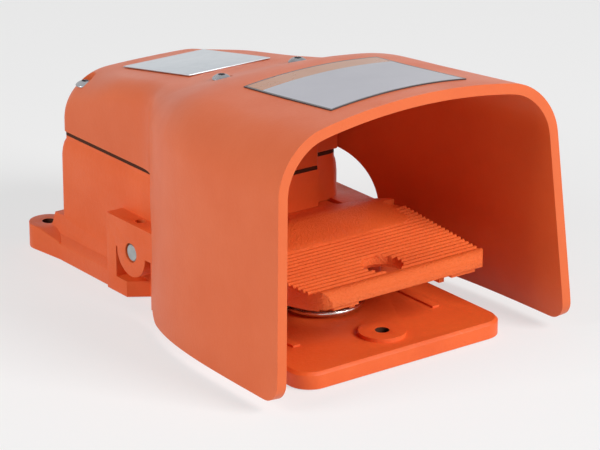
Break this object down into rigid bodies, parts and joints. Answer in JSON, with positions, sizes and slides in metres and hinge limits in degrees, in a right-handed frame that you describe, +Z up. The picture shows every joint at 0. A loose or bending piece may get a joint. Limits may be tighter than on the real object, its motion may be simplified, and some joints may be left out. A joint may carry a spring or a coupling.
{
  "type": "guarded industrial foot switch",
  "caption": "Cast foot switch with a hooded toe guard, ribbed hinged pedal on a coil return spring, and a sealed contact box behind.",
  "frame": {"origin": "centre of the outline in plan, at floor level under the base", "axes": "+X across the width, -Y towards the operator's foot, +Y to the conduit entry, +Z up"},
  "size_m": [0.1718, 0.255, 0.13],
  "materials": {
    "casting_paint": "orange powder coat over a cast surface, slight orange peel",
    "cover_paint": "orange powder coat, smoother, slight orange peel",
    "pedal_paint": "orange powder coat over coarse sand cast ribs",
    "gasket_rubber": "dull black brown rubber",
    "bright_steel": "zinc plated, bright",
    "pin_steel": "turned steel, grey",
    "black_steel": "black oxide",
    "bronze": "sintered bronze or plain brass",
    "spring_steel": "bright drawn wire",
    "plated_steel": "zinc plated sheet",
    "plate_silver": "satin aluminium, bare",
    "label_grey": "light grey film, bare, thin dark edge",
    "moulding_black": "black moulding compound",
    "moulding_brown": "dark brown moulding compound",
    "moulding_ivory": "ivory moulding compound",
    "copper_alloy": "contact strip, copper coloured",
    "green_screw": "green dyed screw"
  },
  "bodies": {
    "base": {"base_casting": "casting_paint", "cover_guard": "cover_paint", "cover_gasket": "gasket_rubber", "cover_screws": "bright_steel", "name_plate": "plate_silver", "guard_label": "label_grey", "pivot_pin": "pin_steel", "pin_set_screws": "black_steel", "thrust_washers": "bronze", "return_spring": "spring_steel", "plunger_bush": "bronze", "plunger_seal": "gasket_rubber", "switch_bracket": "plated_steel", "bracket_screws": "bright_steel", "switch_body": "moulding_black", "switch_cover": "moulding_brown", "switch_screws": "bright_steel", "carrier_spring": "spring_steel", "fixed_contacts": "copper_alloy", "wire_clamps": "plated_steel", "terminal_screws": "bright_steel", "ground_screw": "green_screw", "ground_washer": "bronze"},
    "pedal": {"pedal": "pedal_paint", "pivot_bushes": "bronze", "lift_screw": "bright_steel", "lift_nut": "bright_steel"},
    "plunger": {"plunger": "pin_steel", "plunger_clip": "black_steel"},
    "carrier": {"contact_carrier": "moulding_ivory", "contact_bridges": "copper_alloy"}
  },
  "joints": [
    {"name": "pedal_pivot", "type": "hinge", "parent": "base", "child": "pedal", "pos_m": [0, 0.029, 0.024], "axis": [1, 0, 0], "range_deg": [0, 6], "stiffness_Nm_per_rad": 24, "springref_deg": -5.16, "deforming": ["return_spring"]},
    {"name": "plunger_slide", "type": "slide", "parent": "base", "child": "plunger", "axis": [0, 0, 1], "range_m": [0, 0.0022]},
    {"name": "carrier_slide", "type": "slide", "parent": "base", "child": "carrier", "axis": [0, 0, 1], "range_m": [0, 0.0022], "deforming": ["carrier_spring"]}
  ],
  "couplings": [
    {"joint": "plunger_slide", "follows": "pedal_pivot", "m_per_rad": 0.021},
    {"joint": "carrier_slide", "follows": "pedal_pivot", "m_per_rad": 0.021}
  ]
}
